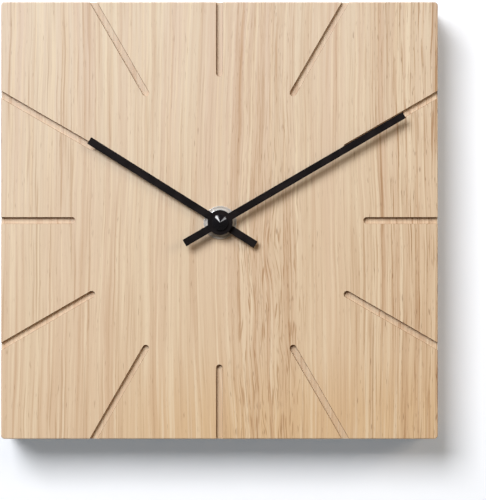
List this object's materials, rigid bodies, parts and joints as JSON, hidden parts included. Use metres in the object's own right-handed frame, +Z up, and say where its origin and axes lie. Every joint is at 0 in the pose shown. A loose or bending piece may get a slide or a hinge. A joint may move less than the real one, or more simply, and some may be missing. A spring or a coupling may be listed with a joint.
{
  "type": "radio-controlled wall clock",
  "caption": "Square oak wall clock with milled hour grooves, black baton hands and a battery movement with a radio receiver in a pocket behind.",
  "frame": {"origin": "the point where the wall hook carries the clock: the top of the hanger's slot, taken back onto the wall plane", "axes": "+Z up, +X to the right as seen from the front, and the face looks along -Y, so +Y points into the wall"},
  "size_m": [0.2, 0.0373, 0.2],
  "materials": {
    "oak": "satin",
    "black_paint": "satin",
    "case_plastic": "matte",
    "clear_plastic": "gloss",
    "white_plastic": "satin",
    "red_plastic": "satin",
    "steel": "satin",
    "brass": "satin",
    "copper": "satin",
    "rubber": "matte",
    "circuit_board": "satin",
    "ferrite": "matte",
    "magnet": "satin",
    "cell_jacket": "gloss"
  },
  "bodies": {
    "clock": {"oak_body": "oak", "hanger_bracket": "steel", "rubber_washer": "rubber", "clear_nut": "clear_plastic", "case_front_shell": "case_plastic", "case_rear_shell": "case_plastic", "train_plate": "white_plastic", "circuit_board": "circuit_board", "ferrite_rod": "ferrite", "antenna_coil": "copper", "plus_contact": "steel", "minus_contact": "steel", "upper_pole_piece": "steel", "lower_pole_piece": "steel", "coil_core": "steel", "coil_bobbin": "white_plastic", "coil_winding": "copper", "receiver_chip": "case_plastic", "quartz_crystal": "steel", "tuning_capacitor": "ferrite", "position_lamp": "clear_plastic", "light_sensor": "case_plastic", "set_switch": "case_plastic", "receive_switch": "case_plastic", "reset_switch": "case_plastic", "case_screw_1": "steel", "case_screw_2": "steel", "case_screw_3": "steel", "case_screw_4": "steel", "board_screw_1": "steel", "board_screw_2": "steel", "board_screw_3": "steel", "board_screw_4": "steel"},
    "minute_arbor": {"centre_wheel": "white_plastic", "minute_hand": "black_paint", "minute_bush": "brass", "cap_nut": "black_paint"},
    "hour_arbor": {"hour_wheel": "white_plastic", "hour_hand": "black_paint", "hour_bush": "brass"},
    "motion_arbor": {"motion_wheel": "white_plastic"},
    "third_arbor": {"third_wheel": "white_plastic"},
    "drive_arbor": {"drive_wheel": "white_plastic"},
    "rotor": {"rotor_magnet": "magnet", "rotor_pinion": "white_plastic"},
    "battery": {"battery": "cell_jacket"},
    "set_button": {"set_button": "white_plastic"},
    "receive_button": {"receive_button": "white_plastic"},
    "reset_button": {"reset_button": "red_plastic"}
  },
  "joints": [
    {"name": "minute_turn", "type": "hinge", "parent": "clock", "child": "minute_arbor", "pos_m": [0, 0, -0.044], "axis": [0, 1, 0], "continuous": true},
    {"name": "hour_turn", "type": "hinge", "parent": "clock", "child": "hour_arbor", "pos_m": [0, 0, -0.044], "axis": [0, 1, 0], "continuous": true},
    {"name": "motion_turn", "type": "hinge", "parent": "clock", "child": "motion_arbor", "pos_m": [-0.01128, 0, -0.0399], "axis": [0, 1, 0], "continuous": true},
    {"name": "third_turn", "type": "hinge", "parent": "clock", "child": "third_arbor", "pos_m": [0.01052, 0, -0.04017], "axis": [0, 1, 0], "continuous": true},
    {"name": "drive_turn", "type": "hinge", "parent": "clock", "child": "drive_arbor", "pos_m": [0.01342, 0, -0.05099], "axis": [0, 1, 0], "continuous": true},
    {"name": "rotor_turn", "type": "hinge", "parent": "clock", "child": "rotor", "pos_m": [0.00511, 0, -0.05579], "axis": [0, 1, 0], "continuous": true},
    {"name": "battery_slide", "type": "slide", "parent": "clock", "child": "battery", "axis": [0, 1, 0], "range_m": [0, 0.02]},
    {"name": "set_press", "type": "slide", "parent": "clock", "child": "set_button", "axis": [0, -1, 0], "range_m": [0, 0.0006], "stiffness_N_per_m": 800},
    {"name": "receive_press", "type": "slide", "parent": "clock", "child": "receive_button", "axis": [0, -1, 0], "range_m": [0, 0.0006], "stiffness_N_per_m": 800},
    {"name": "reset_press", "type": "slide", "parent": "clock", "child": "reset_button", "axis": [0, -1, 0], "range_m": [0, 0.0006], "stiffness_N_per_m": 800}
  ],
  "couplings": [
    {"joint": "motion_turn", "follows": "minute_turn", "ratio": -0.33333},
    {"joint": "hour_turn", "follows": "minute_turn", "ratio": 0.083333},
    {"joint": "third_turn", "follows": "minute_turn", "ratio": -6},
    {"joint": "drive_turn", "follows": "minute_turn", "ratio": 36},
    {"joint": "rotor_turn", "follows": "minute_turn", "ratio": -180}
  ]
}
